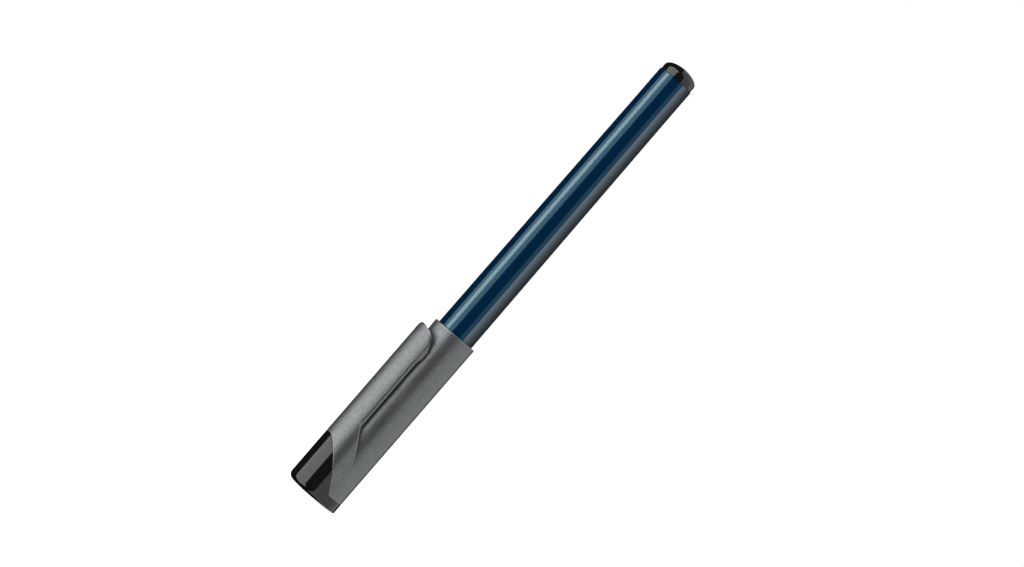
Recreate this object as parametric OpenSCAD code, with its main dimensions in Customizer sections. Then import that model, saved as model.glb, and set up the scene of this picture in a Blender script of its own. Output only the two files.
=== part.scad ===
// Overhead projector marker, a capped fibre-tip pen standing on its cap with its clip to the front.
// All lengths are in millimetres.

/* [Barrel] */
// Length of barrel in view behind the cap
barrel_len = 84.4; // [60:0.1:110]
// Diameter at the front edge, where the cap stops
barrel_front_d = 10.55; // [10.5:0.05:12]
// Diameter of the straight rear land
barrel_rear_d = 9.9; // [9.6:0.05:12]
// Length of the straight rear land, onto which a sleeve can be pushed
land_len = 10; // [4:0.5:20]
// Diameter of the hole through the barrel
barrel_bore_d = 8.4; // [7.8:0.1:8.8]

/* [End plug] */
// Diameter of the head that shows behind the barrel
plug_d = 9.45; // [9:0.05:9.6]
// Length of the head
plug_len = 3.5; // [2.6:0.05:6]
// Height of the rounded rear end of the head
plug_dome_h = 2.15; // [0.8:0.05:2.5]
// Length of the shank pushed into the barrel
plug_shank_len = 8.5; // [4:0.5:14]
// Wall of the hollow shank
plug_wall = 1.1; // [0.6:0.1:1.6]

/* [Grip section] */
// Length in front of the barrel
grip_len = 32.8; // [30:0.1:40]
// Diameter of the front end
nose_d = 4.1; // [3.9:0.05:4.6]
// Length of the rounded nose
ogive_len = 11.2; // [9:0.1:14]
// Diameter at the bottom of the grip grooves
groove_d = 9.7; // [9:0.05:9.9]
// Height of a grip rib above its groove
rib_h = 0.17; // [0.05:0.01:0.25]
// Number of grip ribs
rib_count = 10; // [6:1:10]
// Diameter of the smooth band on which the cap sits
band_d = 10.3; // [10.2:0.05:10.4]
// Length from the last groove to the barrel
band_len = 2.4; // [1.5:0.1:4]
// Length of the slope from the last groove up to the band
band_slope_len = 0.7; // [0.3:0.1:1]
// Length of the spigot pushed into the barrel
spigot_len = 8; // [5:0.5:12]
// Diameter of the hole that holds the ink reservoir
chamber_d = 7; // [6:0.1:7.4]
// Length from the first groove to the ink reservoir
chamber_setback = 9.4; // [4:0.1:14]

/* [Nib] */
// Diameter of the fibre nib
nib_d = 1.8; // [1.4:0.05:2.1]
// Length of nib in view
nib_reach = 3.3; // [2:0.1:5]
// Length of the rounded point
nib_point_len = 1.6; // [0.8:0.1:2]
// Length of nib inside the ink reservoir
nib_soak_len = 8; // [4:0.5:14]
// Length of the nib holder in view
holder_reach = 2.5; // [1.5:0.1:4]
// Diameter of the holder at its front
holder_tip_d = 2.9; // [2.4:0.05:3.2]
// Diameter of the holder where it meets the grip
holder_base_d = 3.85; // [3.5:0.05:3.9]
// Diameter of the holder's shank inside the grip
holder_shank_d = 3; // [2.6:0.1:3.2]
// Length of the holder's shank
holder_shank_len = 14; // [8:0.5:18]

/* [Ink reservoir] */
// Thickness of the film around the fibre
film_t = 0.12; // [0.08:0.01:0.25]

/* [Cap] */
// Length of the cap
cap_len = 54.2; // [52:0.1:60]
// Diameter of the cap
cap_d = 12.5; // [12:0.05:14]
// Radial gap between the cap and the band it sits on
cap_clear = 0.05; // [0.02:0.01:0.1]
// Rounding of the open rim
rim_edge_r = 0.3; // [0.1:0.05:0.4]
// Length of end piece in view on the side away from the clip
end_len = 3.1; // [2.4:0.1:5]
// Thickness of the closed end
end_wall = 2.5; // [1.5:0.1:4]
// Rounding of the closed end on the clip side
end_edge_r = 1.7; // [0.4:0.1:1.8]
// Rounding of the closed end on the far side
end_far_edge_r = 0.25; // [0.1:0.05:0.4]
// Length of the end piece's sealing skirt past the front end of the grip
skirt_reach = 4.6; // [2:0.1:7]
// Radial gap between the skirt and the nose inside it
seal_clear = 0.2; // [0.1:0.05:0.3]
// Height above the axis at which the slanted front edge starts
slant_x = 0.65; // [0.5:0.05:2]
// Angle between the slanted front edge and the clip's direction
slant_angle = 55.4; // [45:0.1:65]
// Length along the cap, level with the axis, from the front edge to the crease
sash_len = 8.2; // [6:0.1:14]
// Angle between the crease and the clip's direction
crease_angle = 58.8; // [50:0.1:65]

/* [Clip] */
// Height of the clip's crown above the axis
clip_top = 9.15; // [8.6:0.05:10]
// Radius of the crown
crown_r = 6.1; // [5.1:0.1:6.2]
// Width of the clip
clip_w = 10; // [6:0.1:10]
// Gap between the clip and the cap
clip_gap = 1.35; // [0.6:0.05:1.5]
// Distance of the clip's tip from the closed end
clip_tip = 51.4; // [46:0.1:52]
// Length of the clip's rounded tip
tip_len = 3.5; // [2:0.1:5]
// Distance of the clip's bump from the closed end
bump_pos = 45.2; // [40:0.1:46]
// Depth of the bump
bump_h = 0.5; // [0.2:0.05:0.55]
// Length of the slope up to the bump
bump_slope_len = 2.2; // [1:0.1:4]
// Length of the flat on the bump
bump_flat_len = 1.4; // [0.3:0.1:2]

/* [Hidden] */
$fn = 96;

// Working margin for cuts
over = 1;

// Heights along the pen, measured from the cap's closed end
rim_z = cap_len;
plug_z = rim_z + barrel_len;
end_z = plug_z + plug_len;
land_z = plug_z - land_len;
nose_z = rim_z - grip_len;
ribs_z = nose_z + ogive_len;
band_z = rim_z - band_len;
rib_pitch = (band_z - ribs_z) / rib_count;
chamber_z = ribs_z + chamber_setback;
skirt_z = nose_z + skirt_reach;
shank_z = plug_z - plug_shank_len;
holder_z = nose_z - holder_reach;
nib_z = holder_z - nib_reach;

// Radii
cap_r = cap_d / 2;
cap_bore_r = band_d / 2 + cap_clear;
barrel_bore_r = barrel_bore_d / 2;
chamber_r = chamber_d / 2;
nib_r = nib_d / 2;
holder_shank_r = holder_shank_d / 2;
plug_r = plug_d / 2;
groove_r = groove_d / 2;

// Rounded nose as an arc that runs level into the first groove
nose_rise = (groove_d - nose_d) / 2;
nose_arc_r = (pow(ogive_len, 2) + pow(nose_rise, 2)) / (2 * nose_rise);
function nose_r_at(behind) =
    groove_r - nose_arc_r + sqrt(pow(nose_arc_r, 2) - pow(ogive_len - behind, 2));
skirt_bore_r = nose_r_at(skirt_reach) + seal_clear;

// Outline of the cap's closed end: the body circle, the crown circle and their tangents
crown_x = clip_top - crown_r;
tangent_a = acos((cap_r - crown_r) / crown_x);
body_tangent = cap_r * [cos(tangent_a), sin(tangent_a)];
crown_tangent = [crown_x, 0] + crown_r * [cos(tangent_a), sin(tangent_a)];

// Slanted edges, drawn on the side view of the cap
slant_run = tan(slant_angle);
slant_top = clip_top + over;
slant_rise = (slant_top - slant_x) * slant_run;
crease_z = end_len + sash_len;
crease_top_z = crease_z + slant_top * tan(crease_angle);
clip_under_r = cap_r + clip_gap;
bump_r = clip_under_r - bump_h;

// Steps along a curved profile
curve_steps = 16;

// Turns the clip, drawn along X, to the front
module clip_to_front() {
    rotate([0, 0, -90])
        children();
}

// Straight tube about the pen's axis
module tube(outer, inner, from, to) {
    translate([0, 0, from])
        difference() {
            cylinder(r = outer, h = to - from);
            translate([0, 0, -over])
                cylinder(r = inner, h = to - from + 2 * over);
        }
}

// Cap outline seen from the closed end
module cap_outline() {
    circle(r = cap_r);
    translate([crown_x, 0])
        circle(r = crown_r);
    polygon([
        body_tangent,
        crown_tangent,
        [crown_tangent.x, -crown_tangent.y],
        [body_tangent.x, -body_tangent.y]
    ]);
}

// Cap outline drawn out along the pen
module cap_prism(from, to) {
    translate([0, 0, from])
        linear_extrude(height = to - from)
            cap_outline();
}

// Side-view shape drawn right across the cap
module across(points) {
    rotate([90, 0, 0])
        linear_extrude(height = 4 * cap_r, center = true)
            polygon(points);
}

// Space of the end piece in front of the sleeve's straight and slanted edge
module end_zone() {
    across([
        [-2 * cap_r, -over],
        [-2 * cap_r, end_len],
        [slant_x, end_len],
        [slant_top, end_len + slant_rise],
        [slant_top, -over]
    ]);
}

// Upper and side part of the sleeve up to the slanted crease at the clip's root
module sash() {
    intersection() {
        cap_prism(end_len, crease_top_z);
        across([
            [0, 0],
            [0, crease_z],
            [slant_top, crease_top_z],
            [slant_top, 0]
        ]);
    }
}

// Outline of the clip seen from the front, with straight sides and a rounded tip
function clip_plan() = concat(
    [
        [clip_w / 2, 0],
        [-clip_w / 2, 0]
    ],
    [
        for (i = [0 : curve_steps])
            let (a = 180 * i / curve_steps)
                [-clip_w / 2 * cos(a), clip_tip - tip_len * (1 - sin(a))]
    ]
);

// Clip with a concentric underside, a bump and a rounded tip that rises to a thin edge
module clip() {
    difference() {
        intersection() {
            cap_prism(crease_z, clip_tip);
            rotate([90, 0, 90])
                linear_extrude(height = slant_top)
                    polygon(clip_plan());
        }
        rotate_extrude()
            polygon([
                [0, 0],
                [clip_under_r, 0],
                [clip_under_r, bump_pos - bump_flat_len / 2 - bump_slope_len],
                [bump_r, bump_pos - bump_flat_len / 2],
                [bump_r, bump_pos + bump_flat_len / 2],
                [clip_top, clip_tip],
                [clip_top, clip_tip + over],
                [0, clip_tip + over]
            ]);
    }
}

// Grey moulded sleeve of the cap with its clip
module cap_sleeve() {
    color([0.43, 0.45, 0.45])
        clip_to_front()
            difference() {
                union() {
                    translate([0, 0, end_len])
                        cylinder(r = cap_r, h = rim_z - end_len - rim_edge_r);
                    translate([0, 0, rim_z - rim_edge_r])
                        rotate_extrude() {
                            square([cap_r - rim_edge_r, rim_edge_r]);
                            translate([cap_r - rim_edge_r, 0])
                                intersection() {
                                    circle(r = rim_edge_r);
                                    square(rim_edge_r);
                                }
                        }
                    sash();
                    clip();
                }
                end_zone();
                translate([0, 0, -over])
                    cylinder(r = cap_bore_r, h = rim_z + 2 * over);
            }
}

// Disc with a rounded front edge
module rounded_disc(r, edge_r, h) {
    rotate_extrude()
        intersection() {
            union() {
                translate([0, edge_r])
                    square([r, h - edge_r]);
                square([r - edge_r, h]);
                translate([r - edge_r, edge_r])
                    circle(r = edge_r, $fn = 32);
            }
            square([r, h]);
        }
}

// Black end piece of the cap with the skirt that seals around the nose
module cap_end() {
    color([0.07, 0.07, 0.07])
        clip_to_front()
            difference() {
                union() {
                    hull() {
                        rounded_disc(cap_r, end_far_edge_r, end_edge_r + end_far_edge_r);
                        translate([crown_x, 0, 0])
                            rounded_disc(crown_r, end_edge_r, end_edge_r + end_far_edge_r);
                    }
                    intersection() {
                        cap_prism(end_edge_r + end_far_edge_r, end_len + slant_rise);
                        end_zone();
                    }
                    translate([0, 0, end_wall])
                        cylinder(r = cap_bore_r, h = skirt_z - end_wall);
                }
                translate([0, 0, end_wall])
                    cylinder(r = skirt_bore_r, h = skirt_z);
            }
}

// Navy barrel, slightly tapered, with a straight rear land
module barrel() {
    color([0.01, 0.12, 0.24])
        clip_to_front()
            rotate_extrude()
                polygon([
                    [barrel_bore_r, rim_z],
                    [barrel_front_d / 2, rim_z],
                    [barrel_rear_d / 2, land_z],
                    [barrel_rear_d / 2, plug_z],
                    [barrel_bore_r, plug_z]
                ]);
}

// Rounded rear end of the plug
function plug_dome() = [
    for (i = [0 : curve_steps])
        let (a = 90 * i / curve_steps)
            [plug_r * sin(a), end_z - plug_dome_h * (1 - cos(a))]
];

// Black plug that closes the barrel's rear end
module end_plug() {
    color([0.07, 0.07, 0.07])
        clip_to_front() {
            tube(barrel_bore_r, barrel_bore_r - plug_wall, shank_z, plug_z);
            rotate_extrude()
                polygon(concat(
                    plug_dome(),
                    [
                        [plug_r, plug_z],
                        [0, plug_z]
                    ]
                ));
        }
}

// Rounded nose from the front end to the first groove
function ogive() = [
    for (i = [0 : curve_steps - 1])
        let (behind = ogive_len * i / curve_steps)
            [nose_r_at(behind), nose_z + behind]
];

// One rib as shares of its pitch and height: a sharp groove and a softly rounded crest
rib_shape = [[0, 0], [0.09, 0.75], [0.25, 0.95], [0.5, 1], [0.75, 0.95], [0.91, 0.75]];

// Row of ribs
function ribs() = [
    for (k = [0 : rib_count - 1])
        for (p = rib_shape)
            [groove_r + p.y * rib_h, ribs_z + (k + p.x) * rib_pitch]
];

// Grey ribbed grip section, pushed into the barrel
module grip_section() {
    color([0.43, 0.45, 0.45])
        clip_to_front()
            rotate_extrude()
                polygon(concat(
                    [[holder_shank_r, nose_z]],
                    ogive(),
                    ribs(),
                    [
                        [groove_r, band_z],
                        [band_d / 2, band_z + band_slope_len],
                        [band_d / 2, rim_z],
                        [barrel_bore_r, rim_z],
                        [barrel_bore_r, rim_z + spigot_len],
                        [chamber_r, rim_z + spigot_len],
                        [chamber_r, chamber_z],
                        [holder_shank_r, chamber_z]
                    ]
                ));
}

// Black holder around the nib
module nib_holder() {
    color([0.05, 0.05, 0.05])
        clip_to_front()
            rotate_extrude()
                polygon([
                    [nib_r, holder_z],
                    [holder_tip_d / 2, holder_z],
                    [holder_base_d / 2, nose_z],
                    [holder_shank_r, nose_z],
                    [holder_shank_r, nose_z + holder_shank_len],
                    [nib_r, nose_z + holder_shank_len]
                ]);
}

// Rounded point of the nib
function nib_point() = [
    for (i = [0 : curve_steps])
        let (a = 90 * i / curve_steps)
            [nib_r * sin(a), nib_z + nib_point_len * (1 - cos(a))]
];

// Fibre nib, from its point to its end in the ink reservoir
module nib() {
    color([0.06, 0.06, 0.07])
        clip_to_front()
            rotate_extrude()
                polygon(concat(
                    nib_point(),
                    [
                        [nib_r, chamber_z + nib_soak_len],
                        [0, chamber_z + nib_soak_len]
                    ]
                ));
}

// Fibre rod that holds the ink
module ink_reservoir() {
    color([0.1, 0.1, 0.12])
        clip_to_front()
            difference() {
                translate([0, 0, chamber_z])
                    cylinder(r = chamber_r - film_t, h = shank_z - chamber_z);
                translate([0, 0, chamber_z - over])
                    cylinder(r = nib_r, h = nib_soak_len + over);
            }
}

// Clear film around the fibre rod
module reservoir_film() {
    color([0.8, 0.82, 0.84])
        clip_to_front()
            tube(chamber_r, chamber_r - film_t, chamber_z, shank_z);
}

cap_sleeve();
cap_end();
barrel();
end_plug();
grip_section();
nib_holder();
nib();
ink_reservoir();
reservoir_film();
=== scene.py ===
import math

import bpy
from mathutils import Matrix, Vector


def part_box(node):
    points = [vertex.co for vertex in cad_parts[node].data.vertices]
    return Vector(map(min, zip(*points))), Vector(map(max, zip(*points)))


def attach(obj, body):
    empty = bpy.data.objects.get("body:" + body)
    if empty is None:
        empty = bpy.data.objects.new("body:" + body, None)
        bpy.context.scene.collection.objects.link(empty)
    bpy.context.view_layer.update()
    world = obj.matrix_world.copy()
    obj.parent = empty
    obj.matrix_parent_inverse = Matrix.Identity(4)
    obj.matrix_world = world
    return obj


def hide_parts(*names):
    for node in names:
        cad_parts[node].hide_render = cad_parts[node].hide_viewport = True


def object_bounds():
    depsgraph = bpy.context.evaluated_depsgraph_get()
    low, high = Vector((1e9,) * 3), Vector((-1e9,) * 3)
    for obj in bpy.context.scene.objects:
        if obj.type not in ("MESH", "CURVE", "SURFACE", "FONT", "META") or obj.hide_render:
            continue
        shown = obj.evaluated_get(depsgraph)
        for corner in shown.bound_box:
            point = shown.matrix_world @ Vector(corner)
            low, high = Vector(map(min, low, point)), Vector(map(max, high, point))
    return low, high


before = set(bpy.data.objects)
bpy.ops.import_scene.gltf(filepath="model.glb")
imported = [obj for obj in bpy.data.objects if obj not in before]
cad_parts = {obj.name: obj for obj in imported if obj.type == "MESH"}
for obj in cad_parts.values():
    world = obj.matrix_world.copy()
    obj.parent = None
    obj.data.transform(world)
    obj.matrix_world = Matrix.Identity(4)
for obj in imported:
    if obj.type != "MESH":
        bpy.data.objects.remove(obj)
cad_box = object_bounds()

# Cap end piece: glossy black polypropylene, moulded in one with the skirt that seals around the nose.
# It is pressed into the grey sleeve, and its outer wall lies flush with the sleeve along a slanted edge.
mm = 0.001
sleeve_low, sleeve_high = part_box("cap_sleeve")
end_low, end_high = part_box("cap_end")

# Seen along the pen, the cap is a round body with a smaller crown in front and straight flanks between
cap_r = end_high.x
clip_top = -end_low.y
crown_r = 6.1 * mm
crown_from = clip_top - crown_r
tangent = math.acos((cap_r - crown_r) / crown_from)
crown_tangent = math.atan2(crown_r * math.sin(tangent), crown_from + crown_r * math.cos(tangent))
tangent_from = cap_r * math.cos(tangent)

# The sleeve's front edge starts to slant at a kink on each flank
slant_from = 0.65 * mm
slant_angle = math.radians(55.4)
slant_run = math.tan(slant_angle)
kink = math.atan2((cap_r - slant_from * math.cos(tangent)) / math.sin(tangent), slant_from)

# Columns of the mesh: on the clip, with a wider one at each edge, then on the flanks and around the back
clip_half = 4.95 * mm
clip_columns = 34
clip_edge_step = math.radians(4.6)
side_columns = 20
run_out_columns = 4
back_columns = 56


def at(front, side, height):
    """Point in front of the axis, to its side and above the cap's closed end."""
    return Vector((side, -front, height))


def oval(angle):
    """Point of the cap's oval outline in a direction from the axis, and the way it faces there."""
    turn = abs(angle)
    hand = 1 if angle >= 0 else -1
    if turn >= tangent:
        reach, facing = cap_r, turn
    elif turn >= crown_tangent:
        reach, facing = cap_r / math.cos(turn - tangent), tangent
    else:
        offset = crown_from * math.sin(turn)
        reach = crown_from * math.cos(turn) + math.sqrt(crown_r**2 - offset**2)
        facing = math.atan2(reach * math.sin(turn), reach * math.cos(turn) - crown_from)
    point = Vector((reach * math.cos(turn), hand * reach * math.sin(turn)))
    return point, Vector((math.cos(facing), hand * math.sin(facing)))


def front_edge(front):
    """Height of the sleeve's front edge: straight behind, slanted towards the clip."""
    return sleeve_low.z + slant_run * max(0, front - slant_from)


def cap_columns():
    """Directions of the mesh columns around the cap, on its oval outline and on its round body."""
    edge = math.asin(clip_half / crown_r)
    inner = edge - clip_edge_step
    inner_columns = clip_columns - 2
    inner_angles = [inner * (2 * i / inner_columns - 1) for i in range(inner_columns + 1)]
    clip = []
    for a in (-edge, *inner_angles, edge):
        side = crown_r * math.sin(a)
        oval_angle = math.atan2(side, crown_from + crown_r * math.cos(a))
        clip.append((oval_angle, math.asin(side / cap_r)))
    from_oval, from_body = clip[-1]
    kink_body = math.acos(slant_from / cap_r)
    flank = []
    for i in range(1, side_columns + 1):
        share = (i / side_columns) ** 2
        flank.append((from_oval + (kink - from_oval) * share, from_body + (kink_body - from_body) * share))
    for i in range(1, run_out_columns + 1):
        share = i / run_out_columns
        flank.append((kink + (tangent - kink) * share, kink_body + (tangent - kink_body) * share))
    back = []
    for i in range(1, back_columns):
        a = tangent + 2 * (math.pi - tangent) * i / back_columns
        a = a if a <= math.pi else a - 2 * math.pi
        back.append((a, a))
    other_flank = [(-oval_angle, -body_angle) for oval_angle, body_angle in reversed(flank)]
    return [*clip, *flank, *back, *other_flank]


columns = cap_columns()
points = []


def add_row(place, *sizes, count=len(columns)):
    """Adds a row of points, one in each of the first columns, and gives their numbers."""
    row = [place(i, *sizes) for i in range(count)]
    points.extend(row)
    return list(range(len(points) - count, len(points)))


def skin(rows, closed=True):
    """Quads that join each row of point numbers to the next."""
    quads = []
    for lower, upper in zip(rows, rows[1:]):
        count = len(lower)
        for i in range(count if closed else count - 1):
            k = (i + 1) % count
            quads.append((lower[i], lower[k], upper[k], upper[i]))
    return quads


def new_piece(name, points, faces):
    """Mesh object of the points and faces."""
    mesh = bpy.data.meshes.new(name)
    mesh.from_pydata(points, [], faces)
    piece = bpy.data.objects.new(name, mesh)
    bpy.context.collection.objects.link(piece)
    return piece


def pick(piece):
    """Leaves this one piece selected and active."""
    bpy.ops.object.select_all(action="DESELECT")
    bpy.context.view_layer.objects.active = piece
    piece.select_set(True)


merge_gap = 0.001 * mm
speck = 0.0005 * mm
smooth_angle = math.radians(35)


def tidy(piece):
    """Merges doubled points, closes holes and turns the faces outwards."""
    pick(piece)
    bpy.ops.object.mode_set(mode="EDIT")
    bpy.ops.mesh.select_all(action="SELECT")
    bpy.ops.mesh.remove_doubles(threshold=merge_gap)
    bpy.ops.mesh.dissolve_degenerate(threshold=speck)
    bpy.ops.mesh.fill_holes(sides=0)
    bpy.ops.mesh.normals_make_consistent(inside=False)
    bpy.ops.object.mode_set(mode="OBJECT")


def smooth(piece):
    """Smooth shading between faces that meet at a small angle, with large faces kept flat."""
    pick(piece)
    bpy.ops.object.shade_smooth_by_angle(angle=smooth_angle)
    weighted = piece.modifiers.new("weighted normals", "WEIGHTED_NORMAL")
    weighted.keep_sharp = True
    bpy.ops.object.modifier_apply(modifier=weighted.name)


def quarter_turn(steps):
    """Angles of the points along a quarter round."""
    return [math.radians(90 * step / steps) for step in range(steps + 1)]


def edge_point(i, inset, rise):
    """Point by the sleeve's front edge, set in from the oval outline and raised above the edge."""
    point, facing = oval(columns[i][0])
    point = point - facing * inset
    return at(point.x, point.y, front_edge(point.x) + rise)


def round_point(i, radius, height=None):
    """Point on a circle around the axis, at a height or on the slant of the sleeve's front edge."""
    angle = columns[i][1]
    front = radius * math.cos(angle)
    z = front_edge(front) if height is None else height
    return at(front, radius * math.sin(angle), z)


edge_r_clip = 1.7 * mm
edge_r_far = 0.25 * mm
edge_steps = 8
end_dome_h = 0.3 * mm
end_dome_steps = 6
skirt_r = 5.15 * mm
skirt_bore_r = 3.94 * mm
skirt_chamfer = 0.25 * mm
skirt_z = end_high.z
end_wall = 2.5 * mm
parting_r = 0.1 * mm

# A small rounded edge has its middle at this share of its radius from both sides
mid_arc = 0.3


def end_edge_r(angle):
    """Rounding of the closed end, large under the clip and small behind."""
    point, _ = oval(angle)
    flank_run = crown_from + (crown_r - cap_r) * math.cos(tangent)
    share = min(1, max(0, (point.x - tangent_from) / flank_run))
    return edge_r_far + (edge_r_clip - edge_r_far) * share


def end_corner(i, turn):
    """Point on the rounded edge of the closed end."""
    angle = columns[i][0]
    point, facing = oval(angle)
    r = end_edge_r(angle)
    point = point - facing * r * (1 - math.sin(turn))
    return at(point.x, point.y, end_dome_h + r * (1 - math.cos(turn)))


def end_dome(i, share):
    """Point on the slightly domed face of the closed end."""
    middle = at(crown_from / 2, 0, 0)
    rise = end_dome_h * (share * share - share)
    return middle + share * (end_corner(i, 0) - middle) + at(0, 0, rise)


rings = [add_row(end_dome, step / end_dome_steps) for step in range(1, end_dome_steps)]
rings += [add_row(end_corner, turn) for turn in quarter_turn(edge_steps)]
rings += [
    add_row(edge_point, 0, -parting_r),
    add_row(edge_point, mid_arc * parting_r, -mid_arc * parting_r),
    add_row(edge_point, parting_r, 0),
    add_row(round_point, skirt_r),
    add_row(round_point, skirt_r, skirt_z - skirt_chamfer),
    add_row(round_point, skirt_r - skirt_chamfer, skirt_z),
    add_row(round_point, skirt_bore_r + skirt_chamfer, skirt_z),
    add_row(round_point, skirt_bore_r, skirt_z - skirt_chamfer),
    add_row(round_point, skirt_bore_r, end_wall),
]
closing_faces = [tuple(reversed(rings[0])), tuple(rings[-1])]
cap_end = new_piece("cap_end_piece", points, closing_faces + skin(rings))
tidy(cap_end)
smooth(cap_end)

cloud_size = 6 * mm
cloud_detail = 4
cloud_low = 0.3
cloud_high = 0.7
speckle_detail = 3
gloss_spread = 0.12


def feed(tree, socket, value):
    """Links another node's result to a socket, or sets a plain number or colour there."""
    if isinstance(value, bpy.types.NodeSocket):
        tree.links.new(value, socket)
    else:
        socket.default_value = value


def ramp(tree, value, start, end, first=0, last=1):
    """Number that runs from first to last while the value runs from start to end."""
    node = tree.nodes.new("ShaderNodeMapRange")
    feed(tree, node.inputs["Value"], value)
    feed(tree, node.inputs["From Min"], start)
    feed(tree, node.inputs["From Max"], end)
    feed(tree, node.inputs["To Min"], first)
    feed(tree, node.inputs["To Max"], last)
    return node.outputs["Result"]


def blend(tree, share, first, second, kind="FLOAT"):
    """Number or colour that is the first where the share is nought and the second where it is one."""
    node = tree.nodes.new("ShaderNodeMix")
    node.data_type = kind
    feed(tree, node.inputs["Factor"], share)
    feed(tree, node.inputs["A"], first)
    feed(tree, node.inputs["B"], second)
    return node.outputs["Result"]


def moulded_finish(name, colour, roughness, grain, depth, metallic=0.0, spread=0.14):
    """Moulded plastic: fine grain in the surface, and slightly uneven colour and gloss."""
    material = bpy.data.materials.new(name)
    material.use_nodes = True
    tree = material.node_tree
    shader = tree.nodes["Principled BSDF"]
    shader.inputs["Metallic"].default_value = metallic
    place = tree.nodes.new("ShaderNodeTexCoord")
    place.name = "place"
    for pattern, size, detail in (("speckle", grain, speckle_detail), ("cloud", cloud_size, cloud_detail)):
        noise = tree.nodes.new("ShaderNodeTexNoise")
        noise.name = pattern
        noise.inputs["Scale"].default_value = 1 / size
        noise.inputs["Detail"].default_value = detail
        tree.links.new(place.outputs["Object"], noise.inputs["Vector"])
    speckle = tree.nodes["speckle"].outputs["Fac"]
    cloud = tree.nodes["cloud"].outputs["Fac"]

    darker = (*[(1 - spread) * c for c in colour], 1)
    lighter = (*[(1 + spread) * c for c in colour], 1)
    feed(tree, shader.inputs["Base Color"], blend(tree, speckle, darker, lighter, "RGBA"))

    glossier = (1 - gloss_spread) * roughness
    duller = (1 + gloss_spread) * roughness
    feed(tree, shader.inputs["Roughness"], ramp(tree, cloud, cloud_low, cloud_high, glossier, duller))

    bump = tree.nodes.new("ShaderNodeBump")
    bump.inputs["Distance"].default_value = depth
    tree.links.new(speckle, bump.inputs["Height"])
    tree.links.new(bump.outputs["Normal"], shader.inputs["Normal"])
    return material


gloss_black = moulded_finish(
    "gloss black", (0.012, 0.012, 0.0125), roughness=0.07, grain=0.5 * mm, depth=0.0002 * mm
)
cap_end.data.materials.append(gloss_black)
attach(cap_end, "cap")
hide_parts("cap_end")

# Cap sleeve: satin grey plastic with a fine metallic grain, moulded in one with the clip.
# A raised sash runs slanting around it and carries on as the clip, which ends in a bump and a rising tip.
# A fine groove runs along each side of the clip below its crown, and the edges carry a painted highlight in
# a lighter grey.
bore_r = 5.2 * mm
rim_z = sleeve_high.z
rim_edge_r = 0.3 * mm
rim_bevel = 0.12 * mm
front_edge_r = 0.32 * mm
sash_len = 8.4 * mm
crease_angle = math.radians(58.8)
crease_run = math.tan(crease_angle)
crease_w = 0.4 * mm
fillet_r = 1.5 * mm
under_r = 7.57 * mm
under_edge_w = 0.06 * mm
bump_r = 7.2 * mm
bump_start = 42.3 * mm
bump_from = 44.5 * mm
bump_to = 45.9 * mm
bump_steps = 6
rise_power = 1.5
rise_steps = 10
clip_tip = 51.4 * mm
tip_from = 48.4 * mm
tip_power = 2.2
tip_round_r = 1.6 * mm
tip_round_angle = math.radians(36)
tip_steps = 5
groove_w = 0.28 * mm
groove_depth = 0.28 * mm
groove_end = 3

# Shares of the rounding, in from the outline and up from the front edge
front_edge_shape = [(0.6, 0), (0.2, 0.3), (0, 1)]

# Shares of the groove's width and depth, at its bottom and at its lower edge
groove_shape = [(0.5, 1), (1, 0)]

points = []
column_count = len(columns)
clip_last = clip_columns
clip_end = clip_last + 1


def outline(i):
    """Point of the oval outline in a column, seen along the pen."""
    point, _ = oval(columns[i][0])
    return point


def crease(front):
    """Height of the slanted crease where the raised sash ends."""
    return sleeve_low.z + sash_len + crease_run * max(front, tangent_from)


def corner_lift(i):
    """Rise of the crease where it turns into the clip's edge on a fillet."""
    edge_angle = columns[clip_last][0]
    edge, edge_facing = oval(edge_angle)
    point, _ = oval(max(edge_angle, abs(columns[i][0])))
    away = (point - edge).length
    slope = crease_run * edge_facing.y
    normal = math.hypot(slope, 1)
    if away >= fillet_r * (1 - slope / normal):
        return 0
    centre = crease(edge.x) + fillet_r * (normal - slope)
    level = centre - math.sqrt(fillet_r**2 - (fillet_r - away) ** 2)
    return level - crease(point.x)


lifts = [corner_lift(i) for i in range(column_count)]


def sash_end(i, front):
    """Height of the sash's end in a column, with the fillet beside the clip."""
    return crease(front) + lifts[i]


def crease_point(i):
    """Point on the sash's end, at the oval outline."""
    point = outline(i)
    return at(point.x, point.y, sash_end(i, point.x))


def foot_point(i):
    """Point on the sash's end, at the round body."""
    return round_point(i, cap_r, sash_end(i, cap_r * math.cos(columns[i][1])))


def tip_height(i):
    """Height of the clip's rounded tip in a column."""
    share = min(1, abs(outline(i).y) / clip_half)
    return tip_from + (clip_tip - tip_from) * (1 - share**tip_power) ** (1 / tip_power)


def tip_point(i, share):
    """Point on the rounding from the crown over the tip's edge, where it meets the rising underside."""
    point = outline(i)
    a = tip_round_angle * share
    drop = tip_round_r * (1 - math.cos(a))
    back = tip_round_r * (math.sin(tip_round_angle) - math.sin(a))
    return at(point.x - drop, point.y, tip_height(i) - back)


def under_front(i, radius):
    """How far in front of the axis a circle around it passes, at a column's distance to the side."""
    return math.sqrt(radius**2 - outline(i).y ** 2)


def rise_point(i, share):
    """Point on the clip's underside that rises from the bump to the tip, slowly at first."""
    tip = points[row_tip[-1][i]]
    radius = bump_r + share**rise_power * (math.hypot(tip.x, tip.y) - bump_r)
    height = bump_to + share * (tip_height(i) - bump_to)
    return at(under_front(i, radius), outline(i).y, height)


def bump_point(i, share):
    """Point on the eased slope from the clip's underside down to the bump."""
    ease = share * share * (3 - 2 * share)
    radius = under_r + ease * (bump_r - under_r)
    height = bump_start + share * (bump_from - bump_start)
    return at(under_front(i, radius), outline(i).y, height)


def root_point(i):
    """Point at the root of the clip's underside, on the sash's end."""
    front = under_front(i, under_r)
    return at(front, outline(i).y, sash_end(i, front))


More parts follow.
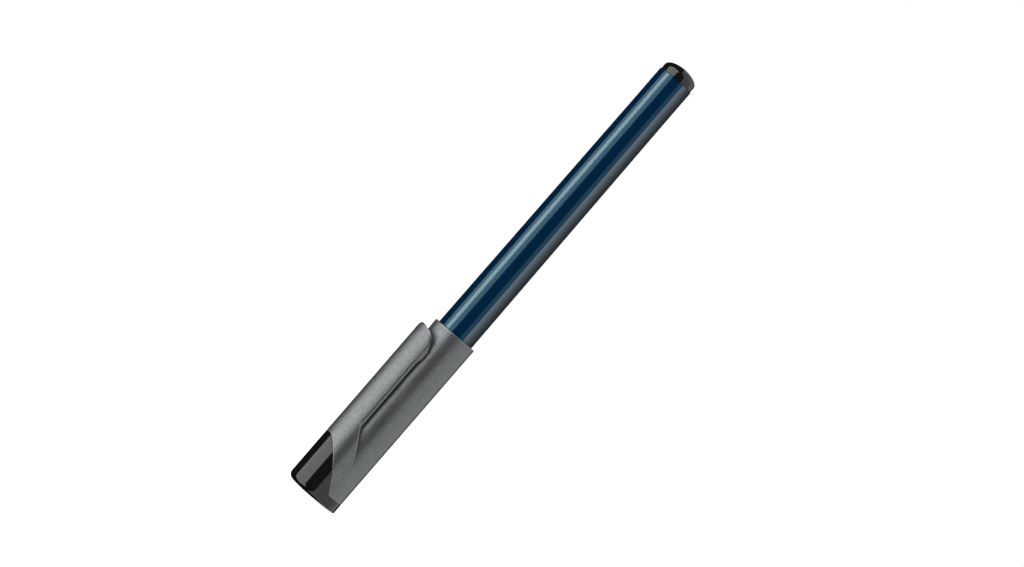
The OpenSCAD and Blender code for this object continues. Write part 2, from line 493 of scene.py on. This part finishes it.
row_bore = add_row(round_point, bore_r)
row_front = [
    add_row(edge_point, inset * front_edge_r, rise * front_edge_r) for inset, rise in front_edge_shape
]
row_crease = add_row(crease_point)
row_foot = add_row(foot_point)
row_rim = []
for turn in quarter_turn(edge_steps):
    radius = cap_r - rim_edge_r * (1 - math.cos(turn))
    height = rim_z - rim_edge_r * (1 - math.sin(turn))
    row_rim.append(add_row(round_point, radius, height))
row_mouth = [
    add_row(round_point, bore_r + rim_bevel, rim_z),
    add_row(round_point, bore_r, rim_z - rim_bevel),
]
row_tip = []
for step in range(tip_steps + 1):
    row_tip.append(add_row(tip_point, step / tip_steps, count=clip_end))
row_under = []
for step in range(1, rise_steps + 1):
    row_under.append(add_row(rise_point, 1 - step / rise_steps, count=clip_end))
for step in range(bump_steps + 1):
    row_under.append(add_row(bump_point, 1 - step / bump_steps, count=clip_end))
row_root = add_row(root_point, count=clip_end)


def add_point(point):
    """Adds one point and gives its number."""
    points.append(point)
    return len(points) - 1


# The groove below each edge of the crown, which runs out in the rounding of the tip
grooves = {}
for i in (0, clip_last):
    edge = outline(i)
    inward = -1 if edge.y > 0 else 1
    run_out = points[row_tip[groove_end][i]]
    run_out_front = -run_out.y
    grooves[i] = []
    for wide, deep in groove_shape:
        front = edge.x - wide * groove_w
        side = edge.y + inward * deep * groove_depth
        tip_front = run_out_front + wide * (edge.x - groove_w - run_out_front)
        grooves[i].append(add_point(at(front, side, sash_end(i, front))))
        grooves[i].append(add_point(at(tip_front, side, run_out.z)))

faces = skin([row_bore, *row_front, row_crease])
faces += skin([row_foot, *row_rim, *row_mouth, row_bore])

# The step down from the sash to the body, beside the clip
round_about = [*range(clip_last, column_count), 0]
for i, k in zip(round_about, round_about[1:]):
    quad = [row_crease[i], row_crease[k], row_foot[k], row_foot[i]]
    if i == clip_last:
        bottom, _, lower, _ = grooves[i]
        quad += [row_root[i], lower, bottom]
    if k == 0:
        bottom, _, lower, _ = grooves[k]
        quad[2:2] = [bottom, lower, row_root[k]]
    faces.append(tuple(quad))

# The clip: crown, tip, underside and the root of the gap below it, then the groove along each side
clip_rows = [row_crease, *row_tip, *row_under, row_root, row_foot]
faces += skin([row[:clip_end] for row in clip_rows], closed=False)
rows_above = [row_crease, *row_tip[: groove_end + 1]]
rows_below = [*row_tip[groove_end:], *row_under, row_root]
for i, (bottom, bottom_tip, lower, lower_tip) in grooves.items():
    above = [row[i] for row in rows_above]
    below = [row[i] for row in rows_below]
    walls = [
        (*above, bottom_tip, bottom),
        (bottom, bottom_tip, lower_tip, lower),
        (above[-1], lower_tip, bottom_tip),
        (lower, lower_tip, *below),
    ]
    faces += walls if i == 0 else [wall[::-1] for wall in walls]

cap_sleeve = new_piece("cap_sleeve_with_clip", points, faces)
grey = (0.163, 0.173, 0.176)
# Painted highlight on the sleeve's edges: a grey brighter than the sleeve's own by this gain
edge_highlight_gain = 1.4
edge_highlight_grey = [edge_highlight_gain * c for c in grey]
satin_roughness = 0.4
satin_metallic = 0.62
satin_grey = moulded_finish(
    "satin grey", grey, satin_roughness, grain=0.3 * mm, depth=0.03 * mm,
    metallic=satin_metallic, spread=0.75,
)
edge_highlight_finish = moulded_finish(
    "satin edge with painted highlight", edge_highlight_grey, satin_roughness, grain=0.32 * mm, depth=0.006 * mm,
    metallic=satin_metallic, spread=0.2,
)
cap_sleeve.data.materials.append(satin_grey)
cap_sleeve.data.materials.append(edge_highlight_finish)
# Faces on the front edge, the rim and the tip's edge get the painted highlight
edge_highlight_slot = 1
edge_highlight_points = set()
for row in [*row_front, *row_rim, *row_tip[-2:]]:
    edge_highlight_points.update(row)
for face in cap_sleeve.data.polygons:
    if edge_highlight_points.issuperset(face.vertices):
        face.material_index = edge_highlight_slot

soft_segments = 3


def soften(piece, chains):
    """Rounds chains of edges, each with its own width at every point, and paints a highlight on them in a
    lighter grey.
    """
    mesh = piece.data
    widest = max(width for chain in chains for _, width in chain)
    wanted = {}
    for chain in chains:
        for (a, width_a), (b, width_b) in zip(chain, chain[1:]):
            wanted[tuple(sorted((a, b)))] = (width_a + width_b) / 2 / widest
    weights = mesh.attributes.new("bevel_weight_edge", "FLOAT", "EDGE")
    for edge in mesh.edges:
        weights.data[edge.index].value = wanted.get(tuple(sorted(edge.vertices)), 0)
    bevel = piece.modifiers.new("soft edges", "BEVEL")
    bevel.limit_method = "WEIGHT"
    bevel.width = widest
    bevel.segments = soft_segments
    bevel.use_clamp_overlap = False
    # The rounded edges get the lighter grey of the painted highlight
    bevel.material = edge_highlight_slot
    pick(piece)
    bpy.ops.object.modifier_apply(modifier=bevel.name)


def crease_width(i, clip_edge):
    """Rounding of the crease: at most a third of the step and half the way to the clip's edge."""
    point = points[row_crease[i]]
    step = (point - points[row_foot[i]]).length
    to_clip = (point - points[row_crease[clip_edge]]).length
    return min(crease_w, step / 3, to_clip / 2)


crease_columns = side_columns + run_out_columns
right_side = [*range(clip_last, clip_last + crease_columns)]
left_side = [*range(column_count - crease_columns + 1, column_count), 0]
chains = []
for side, clip_edge in ((right_side, clip_last), (left_side, 0)):
    chains.append([(row_crease[i], crease_width(i, clip_edge)) for i in side])
for i in (0, clip_last):
    chains.append([(row[i], under_edge_w) for row in rows_below])
soften(cap_sleeve, chains)
tidy(cap_sleeve)
smooth(cap_sleeve)

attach(cap_sleeve, "cap")
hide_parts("cap_sleeve")

# Grip section: semi-gloss grey plastic, turned smooth at the nose and ribbed where the fingers hold it.
# Its spigot is pushed into the barrel, and the cap slides over its rear band.
turn_steps = 128
grip_low, grip_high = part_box("grip_section")
barrel_low, barrel_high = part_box("barrel")
nose_z = grip_low.z
nose_r = 2.05 * mm
groove_r = 4.85 * mm
ogive_len = 11.2 * mm
ogive_steps = 24
band_r = grip_high.x
band_len = 2.4 * mm
band_slope = 0.7 * mm
rib_count = 10
rib_h = 0.17 * mm
barrel_bore_r = 4.2 * mm
holder_shank_r = 1.5 * mm
chamber_r = 3.5 * mm
chamber_z = 42.0 * mm
edge_r = 0.12 * mm

# Shares of a rib's pitch along the grip and of its height
rib_shape = [
    (0, 0), (0.045, 0.5), (0.095, 0.8), (0.17, 0.92), (0.3, 0.98), (0.5, 1),
    (0.7, 0.98), (0.83, 0.92), (0.905, 0.8), (0.955, 0.5),
]

# Shares of the slope's length and height, from the last rib up to the band
band_shape = [(0, 0), (0.3, 0.35), (0.7, 0.8), (1.2, 1)]


def turned(name, profile):
    """Piece of revolution: a ring is extruded along the pen and scaled to each radius in turn."""
    (radius, height), *rest = profile
    bpy.ops.object.select_all(action="DESELECT")
    bpy.ops.mesh.primitive_circle_add(vertices=turn_steps, radius=radius, location=(0, 0, height))
    piece = bpy.context.object
    piece.name = name
    bpy.ops.object.transform_apply(location=True, rotation=True, scale=True)
    bpy.ops.object.mode_set(mode="EDIT")
    bpy.ops.mesh.select_all(action="SELECT")
    for next_radius, next_height in rest:
        move = {"value": (0, 0, next_height - height)}
        bpy.ops.mesh.extrude_region_move(TRANSFORM_OT_translate=move)
        scale = next_radius / radius
        bpy.ops.transform.resize(value=(scale, scale, 1), center_override=(0, 0, next_height))
        radius, height = next_radius, next_height
    bpy.ops.object.mode_set(mode="OBJECT")
    tidy(piece)
    smooth(piece)
    return piece


def nose_radius(behind):
    """Radius of the rounded nose, an arc that runs level into the first groove."""
    rise = groove_r - nose_r
    arc_r = (ogive_len**2 + rise**2) / (2 * rise)
    return groove_r - arc_r + math.sqrt(arc_r**2 - (ogive_len - behind) ** 2)


ribs_z = nose_z + ogive_len
band_z = barrel_low.z - band_len
rib_pitch = (band_z - ribs_z) / rib_count
profile = [
    (holder_shank_r, nose_z + edge_r),
    (holder_shank_r + edge_r, nose_z),
    (nose_r - edge_r, nose_z),
]
for step in range(1, ogive_steps):
    behind = ogive_len * step / ogive_steps
    profile.append((nose_radius(behind), nose_z + behind))
for rib in range(rib_count):
    for along, up in rib_shape:
        profile.append((groove_r + up * rib_h, ribs_z + (rib + along) * rib_pitch))
for along, up in band_shape:
    profile.append((groove_r + up * (band_r - groove_r), band_z + along * band_slope))
profile += [
    (band_r, barrel_low.z),
    (barrel_bore_r, barrel_low.z),
    (barrel_bore_r, grip_high.z),
    (chamber_r, grip_high.z),
    (chamber_r, chamber_z),
    (holder_shank_r, chamber_z),
    profile[0],
]
grip = turned("grip_with_ribs", profile)
grip_grey = moulded_finish(
    "semi-gloss grey", (0.158, 0.168, 0.170), roughness=0.16, grain=0.4 * mm, depth=0.0012 * mm, metallic=0.4
)
grip.data.materials.append(grip_grey)
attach(grip, "pen")
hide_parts("grip_section")

# Nib holder: gloss black plastic cone, moulded with a hole along it that grips the nib.
# Its shank is pushed into the grip's nose, and the cone closes the nose in front.
holder_low, holder_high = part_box("nib_holder")
nib_low, nib_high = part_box("nib")
nib_r = nib_high.x
holder_tip_r = 1.45 * mm
holder_base_r = holder_high.x
holder_gap = 0.02 * mm
holder_base_z = nose_z - holder_gap
holder_lip = 0.15 * mm
holder = turned("nib_holder_cone", [
    (nib_r, holder_low.z + holder_lip),
    (nib_r + holder_lip, holder_low.z),
    (holder_tip_r - holder_lip, holder_low.z),
    (holder_tip_r - mid_arc * holder_lip, holder_low.z + mid_arc * holder_lip),
    (holder_tip_r, holder_low.z + holder_lip),
    (holder_base_r, holder_base_z),
    (holder_shank_r, holder_base_z),
    (holder_shank_r, holder_high.z),
    (nib_r, holder_high.z),
    (nib_r, holder_low.z + holder_lip),
])
holder_black = moulded_finish(
    "holder black", (0.008, 0.008, 0.0085), roughness=0.12, grain=0.4 * mm, depth=0.0006 * mm
)
holder.data.materials.append(holder_black)
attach(holder, "pen")
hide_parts("nib_holder")

# Nib: rod of bonded fibres, ground to a rounded point and dark with ink.
# It is pushed through the holder, and its rear end sticks in the ink reservoir.
nib_point_len = 2.0 * mm
nib_bluntness = 0.75
nib_steps = 18
profile = [(nib_r, nib_high.z), (nib_r, nib_low.z + nib_point_len)]
for step in range(1, nib_steps + 1):
    along = math.sqrt(step / nib_steps)
    profile.append((nib_r * (1 - along * along) ** nib_bluntness, nib_low.z + nib_point_len * (1 - along)))
nib = turned("fibre_nib", profile)

fibre_roughness = 0.55
fibre_stretch = 0.06
furrow_depth = 0.02 * mm


def fibre_finish(name, colour, strand):
    """Bundle of fibres along the pen: strands of uneven tone with fine furrows between them."""
    material = moulded_finish(name, colour, fibre_roughness, grain=strand, depth=furrow_depth)
    tree = material.node_tree
    stretch = tree.nodes.new("ShaderNodeMapping")
    stretch.inputs["Scale"].default_value = (1, 1, fibre_stretch)
    tree.links.new(tree.nodes["place"].outputs["Object"], stretch.inputs["Vector"])
    tree.links.new(stretch.outputs["Vector"], tree.nodes["speckle"].inputs["Vector"])
    return material


inked_fibre = fibre_finish("inked fibre", (0.013, 0.013, 0.0135), strand=0.12 * mm)
nib.data.materials.append(inked_fibre)
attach(nib, "pen")
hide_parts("nib")

# Ink reservoir: rod of loose fibres soaked with ink, wrapped in a thin clear film.
# Both lie closed in between the grip and the end plug, so their plain shapes stay as they are.
soaked_fibre = fibre_finish("soaked fibre", (0.02, 0.02, 0.023), strand=0.15 * mm)
clear_film = moulded_finish(
    "clear film", (0.75, 0.77, 0.78), roughness=0.1, grain=1.5 * mm, depth=0.004 * mm
)
film_clearness = 0.9
film_shader = clear_film.node_tree.nodes["Principled BSDF"]
film_shader.inputs["Transmission Weight"].default_value = film_clearness
for node, material in (("ink_reservoir", soaked_fibre), ("reservoir_film", clear_film)):
    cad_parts[node].data.materials.clear()
    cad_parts[node].data.materials.append(material)

# Barrel: gloss navy plastic tube, tapering gently to a straight rear end.
# A plain slate panel is printed along it, with painted shade: lighter at its edge beside the navy and darker
# away from it.
rear_r = 4.95 * mm
land_len = 10 * mm
front_r = barrel_high.x
land_z = barrel_high.z - land_len

# Where the taper eases into the straight rear end: distance past its start, and how much wider than it
land_shape = [(-6 * mm, 0.03 * mm), (-1 * mm, 0.005 * mm), (1 * mm, 0)]

# The panel starts a quarter turn from the clip and covers a number of the barrel's flat faces
panel_faces = 28
panel_width = panel_faces * 2 * math.pi / turn_steps
panel_middle = panel_width / 2
panel_slot = 1
# Painted shade on the panel: the turn over which it darkens, and how quickly
painted_shade_width = math.radians(45)
painted_shade_power = 2

profile = [
    (barrel_bore_r, barrel_low.z),
    (front_r - edge_r, barrel_low.z),
    (front_r - mid_arc * edge_r, barrel_low.z + mid_arc * edge_r),
    (front_r, barrel_low.z + edge_r),
    *[(rear_r + wider, land_z + past) for past, wider in land_shape],
    (rear_r, barrel_high.z - edge_r),
    (rear_r - mid_arc * edge_r, barrel_high.z - mid_arc * edge_r),
    (rear_r - edge_r, barrel_high.z),
    (barrel_bore_r, barrel_high.z),
    (barrel_bore_r, barrel_low.z),
]
barrel = turned("tapered_barrel", profile)
navy_sheen = (0.4, 0.8, 0.95, 1)
navy_gloss = moulded_finish(
    "gloss navy", (0.0006, 0.028, 0.08), roughness=0.13, grain=0.5 * mm, depth=0.0001 * mm
)
navy_gloss.node_tree.nodes["Principled BSDF"].inputs["Specular Tint"].default_value = navy_sheen
# The darkest tone of the panel's painted shade, away from its edge beside the navy
slate_painted_shade = (0.013, 0.016, 0.023, 1)
slate_specular = 0.05
slate_print_and_shade = moulded_finish(
    "slate print with painted shade", (0.212, 0.275, 0.325), roughness=0.45, grain=0.3 * mm, depth=0.0005 * mm
)
slate_print_and_shade.node_tree.nodes["Principled BSDF"].inputs["Specular IOR Level"].default_value = slate_specular


def maths(tree, operation, *values):
    """Result of a calculation on other nodes' results and plain numbers."""
    node = tree.nodes.new("ShaderNodeMath")
    node.operation = operation
    for socket, value in zip(node.inputs, values):
        feed(tree, socket, value)
    return node.outputs["Value"]


def paint_shade_on_print(material, dark):
    """Painted shade on the print: a darker tone with the distance from its lighter edge."""
    tree = material.node_tree
    turn = tree.nodes.new("ShaderNodeMapping")
    turn.inputs["Rotation"].default_value = (0, 0, -panel_middle)
    tree.links.new(tree.nodes["place"].outputs["Object"], turn.inputs["Vector"])
    split = tree.nodes.new("ShaderNodeSeparateXYZ")
    tree.links.new(turn.outputs["Vector"], split.inputs["Vector"])
    angle = maths(tree, "ARCTAN2", split.outputs["Y"], split.outputs["X"])
    lighter_edge = -panel_width / 2
    fade = ramp(tree, angle, lighter_edge + painted_shade_width, lighter_edge)
    base = tree.nodes["Principled BSDF"].inputs["Base Color"]
    light = base.links[0].from_socket
    feed(tree, base, blend(tree, maths(tree, "POWER", fade, painted_shade_power), dark, light, "RGBA"))


# The slate print gets painted shade, darker away from its edge beside the navy
paint_shade_on_print(slate_print_and_shade, slate_painted_shade)
barrel.data.materials.append(navy_gloss)
barrel.data.materials.append(slate_print_and_shade)
for face in barrel.data.polygons:
    outside = face.normal.x * face.center.x + face.normal.y * face.center.y > 0
    away = abs(math.atan2(face.center.y, face.center.x) - panel_middle)
    if outside and away < panel_width / 2:
        face.material_index = panel_slot
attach(barrel, "pen")
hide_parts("barrel")

# End plug: gloss black plastic button that closes the barrel's rear end.
# Its hollow shank is pressed into the bore, and the edge of its domed head rests on the barrel.
plug_low, plug_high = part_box("end_plug")
plug_r = 4.725 * mm
plug_dome_h = 2.15 * mm
plug_wall = 1.1 * mm
plug_steps = 20
profile = [
    (barrel_bore_r - plug_wall, barrel_high.z),
    (barrel_bore_r - plug_wall, plug_low.z),
    (barrel_bore_r, plug_low.z),
    (barrel_bore_r, barrel_high.z),
    (plug_r - edge_r, barrel_high.z),
    (plug_r, barrel_high.z + edge_r),
]
for turn in reversed(quarter_turn(plug_steps)):
    profile.append((plug_r * math.sin(turn), plug_high.z - plug_dome_h * (1 - math.cos(turn))))
plug = turned("end_plug_button", profile)
plug.data.materials.append(gloss_black)
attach(plug, "pen")
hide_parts("end_plug")

# Stage: a white floor that keeps the shadow, a tall softbox beside the pen, a strip of light for the barrel
# and one for the sleeve, and a fill from above. Glossy surfaces see the white room only on the side away
# from the softbox, and dimly further round and above.
view_azimuth = math.radians(62)
centre = Vector((0, 0, (cad_box[0].z + cad_box[1].z) / 2))
toward = Vector((math.sin(view_azimuth), -math.cos(view_azimuth), 0))
across = Vector((math.cos(view_azimuth), math.sin(view_azimuth), 0))
upward = Vector((0, 0, 1))
floor_size = 8
paper_white = (0.8, 0.8, 0.8, 1)
paper_roughness = 0.9

# The white room lies between two angles from the camera, in degrees, and shows dimly above past the second
room_from = 31
room_to = 136
room_softness = 2
overhead_from = 0.3
overhead_full = 0.4
overhead_level = 0.4
diffuse_level = 0.62

bpy.ops.object.select_all(action="DESELECT")
bpy.ops.mesh.primitive_plane_add(size=floor_size, location=(0, 0, 0))
floor = bpy.context.object
floor.name = "floor"
floor.visible_glossy = False


def seen_by(tree, rays):
    """One for a ray of the named kinds and nought for any other."""
    path = tree.nodes.new("ShaderNodeLightPath")
    total = path.outputs[rays[0]]
    for ray in rays[1:]:
        total = maths(tree, "MAXIMUM", total, path.outputs[ray])
    return total


paper = bpy.data.materials.new("white paper")
paper.use_nodes = True
shader = paper.node_tree.nodes["Principled BSDF"]
shader.inputs["Base Color"].default_value = paper_white
shader.inputs["Roughness"].default_value = paper_roughness
shader.inputs["Specular IOR Level"].default_value = 0
shader.inputs["Emission Color"].default_value = paper_white
background_rays = seen_by(paper.node_tree, ["Is Camera Ray", "Is Glossy Ray", "Is Transmission Ray"])
feed(paper.node_tree, shader.inputs["Emission Strength"], background_rays)
floor.data.materials.append(paper)

world = bpy.data.worlds.new("studio")
bpy.context.scene.world = world
world.use_nodes = True
sky = world.node_tree
looking = sky.nodes.new("ShaderNodeTexCoord")


def along_axis(axis):
    """Share of the looking direction along an axis."""
    share = sky.nodes.new("ShaderNodeVectorMath")
    share.operation = "DOT_PRODUCT"
    share.inputs[1].default_value = axis
    sky.links.new(looking.outputs["Generated"], share.inputs[0])
    return share.outputs["Value"]


def room_edge(degrees, before, after):
    """Soft edge of the white room at an angle from the camera, away from the softbox."""
    start = math.radians(degrees - room_softness)
    end = math.radians(degrees + room_softness)
    return ramp(sky, bearing, start, end, before, after)


bearing = maths(sky, "ARCTAN2", along_axis(across), along_axis(toward))
overhead = ramp(sky, along_axis(upward), overhead_from, overhead_full, 0, overhead_level)
far_side = maths(sky, "MAXIMUM", room_edge(room_to, 1, 0), overhead)
room = maths(sky, "MULTIPLY", room_edge(room_from, 0, 1), far_side)
level = blend(sky, seen_by(sky, ["Is Glossy Ray"]), diffuse_level, room)
backdrop = blend(sky, seen_by(sky, ["Is Camera Ray", "Is Transmission Ray"]), level, 1)
sky.nodes["Background"].inputs["Color"].default_value = (1, 1, 1, 1)
feed(sky, sky.nodes["Background"].inputs["Strength"], backdrop)


def softbox(name, direction, distance, wide, high, radiance):
    """Rectangular light that faces the middle of the pen."""
    light = bpy.data.lights.new(name, "AREA")
    light.shape = "RECTANGLE"
    light.size = wide
    light.size_y = high
    light.energy = radiance * math.pi * wide * high
    lamp = bpy.data.objects.new(name, light)
    bpy.context.collection.objects.link(lamp)
    lamp.location = centre + direction * distance
    lamp.rotation_mode = "QUATERNION"
    lamp.rotation_quaternion = direction.to_track_quat("Z", "Y")
    lamp.visible_camera = False
    return lamp


side_distance = 0.5


def side_lamp(name, degrees, half_angle, high, radiance):
    """Tall lamp turned from the camera towards the clip's side, which shows only as gloss."""
    a = math.radians(degrees)
    direction = math.cos(a) * toward - math.sin(a) * across
    wide = 2 * side_distance * math.tan(math.radians(half_angle))
    lamp = softbox(name, direction, side_distance, wide, high, radiance)
    lamp.visible_diffuse = False
    return lamp


def light_only(lamp, piece):
    """Keeps a lamp's light to one piece."""
    lit = bpy.data.collections.new("lit by the " + lamp.name)
    lit.objects.link(piece)
    lamp.light_linking.receiver_collection = lit


side_lamp("side softbox", degrees=59, half_angle=34, high=2.2, radiance=2.85)
barrel_strip = side_lamp("barrel strip", degrees=62, half_angle=10.5, high=1.6, radiance=10.5)
barrel_strip.data.color = (1, 0.7, 0.6)
light_only(barrel_strip, barrel)
sleeve_strip = side_lamp("sleeve strip", degrees=103, half_angle=9, high=1.6, radiance=1.5)
light_only(sleeve_strip, cap_sleeve)
top_fill = softbox("top fill", upward, distance=0.6, wide=0.5, high=0.5, radiance=0.5)
top_fill.visible_glossy = False

# Camera: level with the middle of the pen and turned so that the pen lies across the frame.
# The pen's middle, length and slope in the frame set its distance and its aim.
frame_w_px = 1024
frame_h_px = 567
pen_px = Vector((499.3, 284.02))
pen_len_px = 566.9
pen_slope = math.radians(49.12)
lens = 250
sensor = 36
pixel = (cad_box[1].z - cad_box[0].z) / pen_len_px
right = math.cos(pen_slope) * upward + math.sin(pen_slope) * across
up = math.sin(pen_slope) * upward - math.cos(pen_slope) * across
target = centre + pixel * ((frame_w_px / 2 - pen_px.x) * right + (pen_px.y - frame_h_px / 2) * up)
lens_data = bpy.data.cameras.new("camera")
lens_data.lens = lens
lens_data.sensor_width = sensor
camera = bpy.data.objects.new("camera", lens_data)
bpy.context.collection.objects.link(camera)
camera_place = target + toward * (pixel * frame_w_px * lens / sensor)
camera_turn = Matrix((right, up, toward)).transposed().to_4x4()
camera.matrix_world = Matrix.Translation(camera_place) @ camera_turn
bpy.context.scene.camera = camera
bpy.context.scene.view_settings.view_transform = "Standard"
